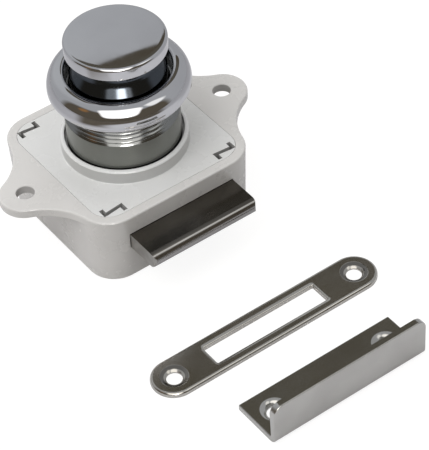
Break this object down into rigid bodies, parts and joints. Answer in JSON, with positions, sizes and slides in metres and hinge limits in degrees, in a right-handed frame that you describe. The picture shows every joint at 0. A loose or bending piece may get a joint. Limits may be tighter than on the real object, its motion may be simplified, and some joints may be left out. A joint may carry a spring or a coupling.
{
  "type": "pushbutton door latch",
  "caption": "Pushbutton door latch: chromed knob and rosette on a barrel, moulded case with two ears, spring bolt, slotted strike plate and angle strike.",
  "frame": {"origin": "on the knob's axis, on the back face of the case", "axes": "+Z along the knob, from the case through the door; X along the line of the ear screws; the bolt leaves towards -Y"},
  "size_m": [0.066, 0.1014, 0.0484],
  "materials": {
    "case_plastic": "moulded, satin gloss",
    "cover_plastic": "moulded, satin gloss",
    "barrel_chrome": "polished",
    "nut_chrome": "polished",
    "rosette_chrome": "polished",
    "knob_chrome": "polished",
    "ring_rubber": "matt",
    "plunger_plastic": "moulded",
    "slide_plastic": "moulded",
    "inner_steel": "zinc plated",
    "spring_steel": "drawn wire",
    "bolt_chrome": "polished",
    "strike_nickel": "nickel plated",
    "angle_nickel": "nickel plated"
  },
  "bodies": {
    "case_body": {"case": "case_plastic", "cover": "cover_plastic", "barrel": "barrel_chrome", "stop_ring": "inner_steel", "clamp_nut": "nut_chrome", "rosette": "rosette_chrome", "knob_spring": "spring_steel", "left_bolt_spring": "spring_steel", "right_bolt_spring": "spring_steel", "strike_plate": "strike_nickel", "angle_strike": "angle_nickel"},
    "knob_body": {"knob": "knob_chrome", "knob_ring": "ring_rubber", "plunger": "plunger_plastic", "knob_screw": "inner_steel", "spring_washer": "inner_steel"},
    "bolt_body": {"bolt": "bolt_chrome", "bolt_slide": "slide_plastic", "left_bolt_pin": "inner_steel", "right_bolt_pin": "inner_steel"}
  },
  "joints": [
    {"name": "knob_press", "type": "slide", "parent": "case_body", "child": "knob_body", "axis": [0, 0, -1], "range_m": [0, 0.0085], "stiffness_N_per_m": 350, "springref_m": -0.004, "deforming": ["knob_spring"]},
    {"name": "bolt_draw", "type": "slide", "parent": "case_body", "child": "bolt_body", "axis": [0, 1, 0], "range_m": [0, 0.0085], "stiffness_N_per_m": 250, "springref_m": -0.004, "deforming": ["left_bolt_spring", "right_bolt_spring"]}
  ],
  "couplings": [
    {"joint": "bolt_draw", "follows": "knob_press", "ratio": 1}
  ]
}
